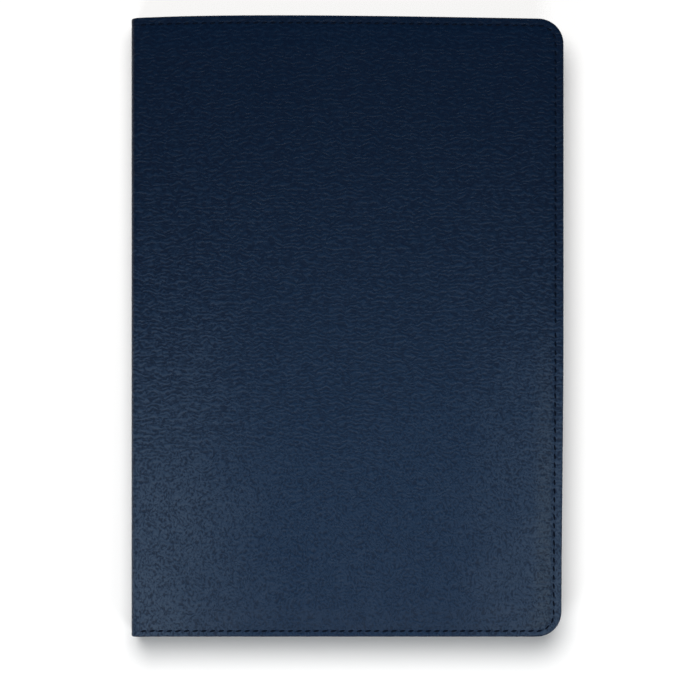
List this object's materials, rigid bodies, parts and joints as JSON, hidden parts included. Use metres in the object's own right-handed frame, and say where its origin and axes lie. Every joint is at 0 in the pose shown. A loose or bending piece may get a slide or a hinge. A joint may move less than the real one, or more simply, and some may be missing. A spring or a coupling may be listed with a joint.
{
  "type": "tablet keyboard case",
  "caption": "Folio case with padded leatherette covers, a built-in keyboard, a spring clamp for the tablet and a fold-out stand leg, stored closed.",
  "frame": {"origin": "middle of the underside of the closed case, which lies on its back cover", "axes": "+X from the spine to the free edge, +Y along the spine, +Z through the thickness, up to the front cover"},
  "size_m": [0.185, 0.265, 0.0255],
  "materials": {
    "leatherette": "embossed pebble grain, satin, dark navy",
    "greyboard": "raw",
    "foam": "thin closed-cell foam sheet",
    "microfibre": "brushed, matt",
    "holder_plastic": "fine texture",
    "keyboard_plastic": "fine texture",
    "key_plastic": "soft-touch satin with light legends",
    "touchpad_plastic": "smooth satin",
    "film": "printed polyester film",
    "silicone": "translucent moulded",
    "circuit_board": "solder mask",
    "battery_wrap": "foil pouch",
    "bare_steel": "nickel plated",
    "coated_steel": "black coating, satin",
    "magnet": "nickel plated",
    "rubber_pad": "matt",
    "clear_lens": "frosted"
  },
  "bodies": {
    "back_cover": {"back_skin": "leatherette", "back_board": "greyboard", "back_lining": "microfibre", "lower_crease": "leatherette", "leg_crease": "leatherette", "leg_keeper": "bare_steel", "holder_base": "holder_plastic", "holder_rivet_1": "bare_steel", "holder_rivet_2": "bare_steel", "holder_rivet_3": "bare_steel", "holder_rivet_4": "bare_steel", "hook_pad_1": "rubber_pad", "hook_pad_2": "rubber_pad", "jaw_spring_1": "bare_steel", "jaw_spring_2": "bare_steel"},
    "stand_leg": {"leg_skin": "leatherette", "leg_board": "greyboard", "leg_magnet": "magnet"},
    "clamp_jaw": {"sliding_jaw": "coated_steel", "claw_pad_1": "rubber_pad", "claw_pad_2": "rubber_pad"},
    "spine": {"spine_skin": "leatherette", "spine_board": "greyboard", "spine_lining": "microfibre", "upper_crease": "leatherette"},
    "front_cover": {"front_skin": "leatherette", "front_foam": "foam", "front_board": "greyboard", "front_lining": "microfibre", "keyboard_base": "keyboard_plastic", "keyboard_deck": "keyboard_plastic", "circuit_sheet": "film", "dome_sheet": "silicone", "controller_board": "circuit_board", "usb_socket": "bare_steel", "battery": "battery_wrap", "touchpad": "touchpad_plastic", "led_lens": "clear_lens", "keyboard_screw_1": "bare_steel", "keyboard_screw_2": "bare_steel", "keyboard_screw_3": "bare_steel", "keyboard_screw_4": "bare_steel", "closing_magnet_1": "magnet", "closing_magnet_2": "magnet", "bumper_1": "rubber_pad", "bumper_2": "rubber_pad", "bumper_3": "rubber_pad", "bumper_4": "rubber_pad"},
    "function_row": {"function_keys": "key_plastic"},
    "number_row": {"number_keys": "key_plastic"},
    "upper_letter_row": {"upper_letter_keys": "key_plastic"},
    "home_row": {"home_keys": "key_plastic"},
    "lower_letter_row": {"lower_letter_keys": "key_plastic"},
    "left_modifiers": {"left_modifier_keys": "key_plastic"},
    "right_modifiers": {"right_modifier_keys": "key_plastic"},
    "space_key": {"space_bar": "key_plastic"},
    "left_click": {"left_click_button": "key_plastic"},
    "right_click": {"right_click_button": "key_plastic"},
    "pairing_key": {"pairing_button": "key_plastic"},
    "power_slider": {"power_switch": "key_plastic"}
  },
  "joints": [
    {"name": "lower_fold", "type": "hinge", "parent": "back_cover", "child": "spine", "pos_m": [-0.0915, 0, 0.001], "axis": [0, -1, 0], "range_deg": [0, 90], "deforming": ["lower_crease"]},
    {"name": "upper_fold", "type": "hinge", "parent": "spine", "child": "front_cover", "pos_m": [-0.0915, 0, 0.0245], "axis": [0, -1, 0], "range_deg": [0, 175], "deforming": ["upper_crease"]},
    {"name": "leg_fold", "type": "hinge", "parent": "back_cover", "child": "stand_leg", "pos_m": [0.036, 0, 0.0004], "axis": [0, -1, 0], "range_deg": [0, 60], "deforming": ["leg_crease"]},
    {"name": "jaw_slide", "type": "slide", "parent": "back_cover", "child": "clamp_jaw", "axis": [1, 0, 0], "range_m": [0, 0.014], "stiffness_N_per_m": 300, "springref_m": -0.005, "deforming": ["jaw_spring_1", "jaw_spring_2"]},
    {"name": "function_press", "type": "slide", "parent": "front_cover", "child": "function_row", "axis": [0, 0, 1], "range_m": [0, 0.0013], "stiffness_N_per_m": 400, "springref_m": -0.0008},
    {"name": "number_press", "type": "slide", "parent": "front_cover", "child": "number_row", "axis": [0, 0, 1], "range_m": [0, 0.0013], "stiffness_N_per_m": 400, "springref_m": -0.0008},
    {"name": "upper_letter_press", "type": "slide", "parent": "front_cover", "child": "upper_letter_row", "axis": [0, 0, 1], "range_m": [0, 0.0013], "stiffness_N_per_m": 400, "springref_m": -0.0008},
    {"name": "home_press", "type": "slide", "parent": "front_cover", "child": "home_row", "axis": [0, 0, 1], "range_m": [0, 0.0013], "stiffness_N_per_m": 400, "springref_m": -0.0008},
    {"name": "lower_letter_press", "type": "slide", "parent": "front_cover", "child": "lower_letter_row", "axis": [0, 0, 1], "range_m": [0, 0.0013], "stiffness_N_per_m": 400, "springref_m": -0.0008},
    {"name": "left_modifier_press", "type": "slide", "parent": "front_cover", "child": "left_modifiers", "axis": [0, 0, 1], "range_m": [0, 0.0013], "stiffness_N_per_m": 400, "springref_m": -0.0008},
    {"name": "right_modifier_press", "type": "slide", "parent": "front_cover", "child": "right_modifiers", "axis": [0, 0, 1], "range_m": [0, 0.0013], "stiffness_N_per_m": 400, "springref_m": -0.0008},
    {"name": "space_press", "type": "slide", "parent": "front_cover", "child": "space_key", "axis": [0, 0, 1], "range_m": [0, 0.0013], "stiffness_N_per_m": 400, "springref_m": -0.0008},
    {"name": "left_click_press", "type": "slide", "parent": "front_cover", "child": "left_click", "axis": [0, 0, 1], "range_m": [0, 0.0003], "stiffness_N_per_m": 800, "springref_m": -0.0004},
    {"name": "right_click_press", "type": "slide", "parent": "front_cover", "child": "right_click", "axis": [0, 0, 1], "range_m": [0, 0.0003], "stiffness_N_per_m": 800, "springref_m": -0.0004},
    {"name": "pairing_press", "type": "slide", "parent": "front_cover", "child": "pairing_key", "axis": [0, 0, 1], "range_m": [0, 0.0003], "stiffness_N_per_m": 800, "springref_m": -0.0004},
    {"name": "power_slide", "type": "slide", "parent": "front_cover", "child": "power_slider", "axis": [1, 0, 0], "range_m": [0, 0.0025]}
  ]
}
